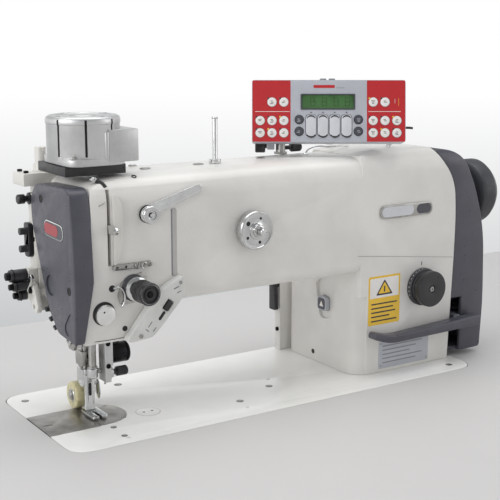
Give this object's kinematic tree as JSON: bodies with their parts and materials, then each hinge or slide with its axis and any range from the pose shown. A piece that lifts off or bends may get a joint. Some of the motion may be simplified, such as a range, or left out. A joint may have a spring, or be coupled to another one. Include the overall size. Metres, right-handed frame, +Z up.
{
  "type": "leather sewing machine head",
  "caption": "Flat-bed lockstitch sewing machine head for leather, with a top roller, trimmer motor, handwheel and tilting panel.",
  "frame": {"origin": "under the needle's axis, on the face that the machine rests on", "axes": "+X along the arm from the needle to the handwheel, +Y away from the operator, +Z up along the needle bar"},
  "size_m": [0.555, 0.178, 0.4108],
  "materials": {
    "light_paint": "warm light grey hammered enamel on cast iron",
    "dark_cover": "anthracite moulded cover, satin",
    "steel": "ground steel",
    "plate_steel": "polished and worn steel plate",
    "chrome": "bright chrome plate",
    "aluminium": "turned and cast aluminium",
    "black_plastic": "black moulded plastic and blackened steel",
    "grey_plastic": "light grey moulded plastic",
    "silver_foil": "silver grey key foil",
    "display_green": "green lit display window",
    "roller_rubber": "cream polyurethane",
    "belt_rubber": "black toothed belt",
    "red_foil": "red key foil"
  },
  "bodies": {
    "root": {"bed_casting": "light_paint", "arm_casting": "light_paint", "take_up_guard": "light_paint", "lift_bracket": "light_paint", "oil_pan": "dark_cover", "face_cover": "dark_cover", "end_cover": "dark_cover", "dial_ring": "dark_cover", "bobbin_case": "steel", "badge_plate": "steel", "needle_plate": "plate_steel", "tension_post": "chrome", "thread_guide": "chrome", "thread_post": "chrome", "bar_bracket": "aluminium", "motor_housing": "aluminium", "wiper_solenoid": "black_plastic", "motor_bracket": "black_plastic", "valve_block": "black_plastic", "air_fittings": "black_plastic", "guard_bar": "grey_plastic", "timing_belt": "belt_rubber"},
    "drive_shaft": {"main_shaft": "steel", "handwheel": "dark_cover", "upper_pulley": "steel"},
    "hook_drive": {"rotary_hook": "steel", "hook_shaft": "steel", "lower_pulley": "steel"},
    "bobbin": {"bobbin": "aluminium"},
    "needle_unit": {"needle_bar": "steel", "needle": "chrome"},
    "presser_unit": {"presser_bar": "steel", "presser_foot": "chrome", "roller_arm": "steel"},
    "roller": {"feed_roller": "roller_rubber"},
    "take_up": {"take_up_lever": "chrome"},
    "feed": {"feed_dog": "steel"},
    "stitch_dial": {"stitch_dial": "black_plastic"},
    "reverse_lever": {"reverse_lever": "dark_cover"},
    "tension_knob": {"tension_knob": "black_plastic"},
    "pre_tension_nut": {"pre_tension_nut": "chrome"},
    "winder": {"winder_disc": "aluminium"},
    "stitch_button": {"stitch_button": "black_plastic"},
    "column_button": {"column_button": "grey_plastic"},
    "slide_plate": {"slide_plate": "plate_steel"},
    "hand_lifter": {"hand_lifter": "black_plastic"},
    "lift_screw": {"lift_screw": "steel"},
    "height_knob": {"height_knob": "black_plastic"},
    "panel_post": {"panel_post": "steel"},
    "panel_knob": {"panel_knob": "black_plastic"},
    "panel": {"panel_case": "silver_foil", "display_window": "display_green"},
    "rocker_1": {"rocker_1": "silver_foil"},
    "rocker_2": {"rocker_2": "silver_foil"},
    "rocker_3": {"rocker_3": "silver_foil"},
    "rocker_4": {"rocker_4": "silver_foil"},
    "mode_key_1": {"mode_key_1": "black_plastic"},
    "mode_key_2": {"mode_key_2": "black_plastic"},
    "mode_key_3": {"mode_key_3": "black_plastic"},
    "mode_key_4": {"mode_key_4": "black_plastic"}
  },
  "joints": [
    {"name": "handwheel_turn", "type": "hinge", "parent": "root", "child": "drive_shaft", "pos_m": [0.3, 0, 0.278], "axis": [1, 0, 0], "continuous": true},
    {"name": "hook_turn", "type": "hinge", "parent": "root", "child": "hook_drive", "pos_m": [0.1, 0, 0.07], "axis": [1, 0, 0], "continuous": true},
    {"name": "bobbin_turn", "type": "hinge", "parent": "root", "child": "bobbin", "pos_m": [-0.016, 0, 0.07], "axis": [1, 0, 0], "continuous": true},
    {"name": "needle_stroke", "type": "slide", "parent": "root", "child": "needle_unit", "axis": [0, 0, 1], "range_m": [-0.026, 0]},
    {"name": "presser_lift", "type": "slide", "parent": "root", "child": "presser_unit", "axis": [0, 0, 1], "range_m": [0, 0.009], "stiffness_N_per_m": 400, "springref_m": -0.02},
    {"name": "roller_turn", "type": "hinge", "parent": "presser_unit", "child": "roller", "pos_m": [-0.0045, 0.029, 0.1135], "axis": [1, 0, 0], "continuous": true},
    {"name": "take_up_swing", "type": "hinge", "parent": "root", "child": "take_up", "pos_m": [-0.0057, 0.016, 0.288], "axis": [1, 0, 0], "range_deg": [-24, 24]},
    {"name": "feed_stroke", "type": "slide", "parent": "root", "child": "feed", "axis": [0, 1, 0], "range_m": [-0.003, 0.003]},
    {"name": "dial_turn", "type": "hinge", "parent": "root", "child": "stitch_dial", "pos_m": [0.37, -0.055, 0.188], "axis": [0, 1, 0], "range_deg": [0, 300]},
    {"name": "reverse_press", "type": "hinge", "parent": "root", "child": "reverse_lever", "pos_m": [0.43, -0.026, 0.146], "axis": [1, 0, 0], "range_deg": [0, 15], "stiffness_Nm_per_rad": 0.25, "springref_deg": -17.19},
    {"name": "tension_turn", "type": "hinge", "parent": "root", "child": "tension_knob", "pos_m": [0.0215, -0.071, 0.232], "axis": [0, 1, 0], "range_deg": [-360, 360]},
    {"name": "pre_tension_turn", "type": "hinge", "parent": "root", "child": "pre_tension_nut", "pos_m": [0.035, -0.056, 0.299], "axis": [0, 1, 0], "range_deg": [-360, 360]},
    {"name": "winder_turn", "type": "hinge", "parent": "root", "child": "winder", "pos_m": [0.15, -0.055, 0.273], "axis": [0, 1, 0], "continuous": true},
    {"name": "stitch_button_press", "type": "slide", "parent": "root", "child": "stitch_button", "axis": [0, 1, 0], "range_m": [0, 0.001], "stiffness_N_per_m": 300, "springref_m": -0.0005},
    {"name": "column_button_press", "type": "slide", "parent": "root", "child": "column_button", "axis": [1, 0, 0], "range_m": [0, 0.003], "stiffness_N_per_m": 300, "springref_m": -0.0005},
    {"name": "slide_plate_open", "type": "slide", "parent": "root", "child": "slide_plate", "axis": [-1, 0, 0], "range_m": [0, 0.05]},
    {"name": "hand_lift", "type": "hinge", "parent": "root", "child": "hand_lifter", "pos_m": [0.267, 0.087, 0.178], "axis": [1, 0, 0], "range_deg": [0, 60]},
    {"name": "lift_screw_turn", "type": "hinge", "parent": "root", "child": "lift_screw", "pos_m": [-0.02, 0.06, 0.34], "axis": [0, 0, 1], "range_deg": [-360, 360]},
    {"name": "height_knob_turn", "type": "hinge", "parent": "root", "child": "height_knob", "pos_m": [0.026, -0.004, 0.141], "axis": [1, 0, 0], "range_deg": [-360, 360]},
    {"name": "panel_swivel", "type": "hinge", "parent": "root", "child": "panel_post", "pos_m": [0.235, 0.029, 0.34], "axis": [0, 0, 1], "range_deg": [-30, 30]},
    {"name": "panel_knob_turn", "type": "hinge", "parent": "panel_post", "child": "panel_knob", "pos_m": [0.235, 0.029, 0.342], "axis": [0.8387, -0.5446, 0], "range_deg": [-180, 180]},
    {"name": "panel_tilt", "type": "hinge", "parent": "panel_post", "child": "panel", "pos_m": [0.235, 0.029, 0.342], "axis": [0.8387, -0.5446, 0], "range_deg": [-15, 8]},
    {"name": "rocker_1_press", "type": "hinge", "parent": "panel", "child": "rocker_1", "pos_m": [0.24733, -0.00773, 0.36482], "axis": [0.8387, -0.5446, 0], "range_deg": [-4, 4], "stiffness_Nm_per_rad": 0.02},
    {"name": "rocker_2_press", "type": "hinge", "parent": "panel", "child": "rocker_2", "pos_m": [0.25748, -0.01432, 0.36482], "axis": [0.8387, -0.5446, 0], "range_deg": [-4, 4], "stiffness_Nm_per_rad": 0.02},
    {"name": "rocker_3_press", "type": "hinge", "parent": "panel", "child": "rocker_3", "pos_m": [0.26763, -0.02091, 0.36482], "axis": [0.8387, -0.5446, 0], "range_deg": [-4, 4], "stiffness_Nm_per_rad": 0.02},
    {"name": "rocker_4_press", "type": "hinge", "parent": "panel", "child": "rocker_4", "pos_m": [0.27778, -0.0275, 0.36482], "axis": [0.8387, -0.5446, 0], "range_deg": [-4, 4], "stiffness_Nm_per_rad": 0.02},
    {"name": "mode_key_1_press", "type": "slide", "parent": "panel", "child": "mode_key_1", "axis": [0.5346, 0.8233, -0.1908], "range_m": [0, 0.0012], "stiffness_N_per_m": 200, "springref_m": -0.0005},
    {"name": "mode_key_2_press", "type": "slide", "parent": "panel", "child": "mode_key_2", "axis": [0.5346, 0.8233, -0.1908], "range_m": [0, 0.0012], "stiffness_N_per_m": 200, "springref_m": -0.0005},
    {"name": "mode_key_3_press", "type": "slide", "parent": "panel", "child": "mode_key_3", "axis": [0.5346, 0.8233, -0.1908], "range_m": [0, 0.0012], "stiffness_N_per_m": 200, "springref_m": -0.0005},
    {"name": "mode_key_4_press", "type": "slide", "parent": "panel", "child": "mode_key_4", "axis": [0.5346, 0.8233, -0.1908], "range_m": [0, 0.0012], "stiffness_N_per_m": 200, "springref_m": -0.0005}
  ],
  "couplings": [
    {"joint": "hook_turn", "follows": "handwheel_turn", "ratio": 2}
  ]
}
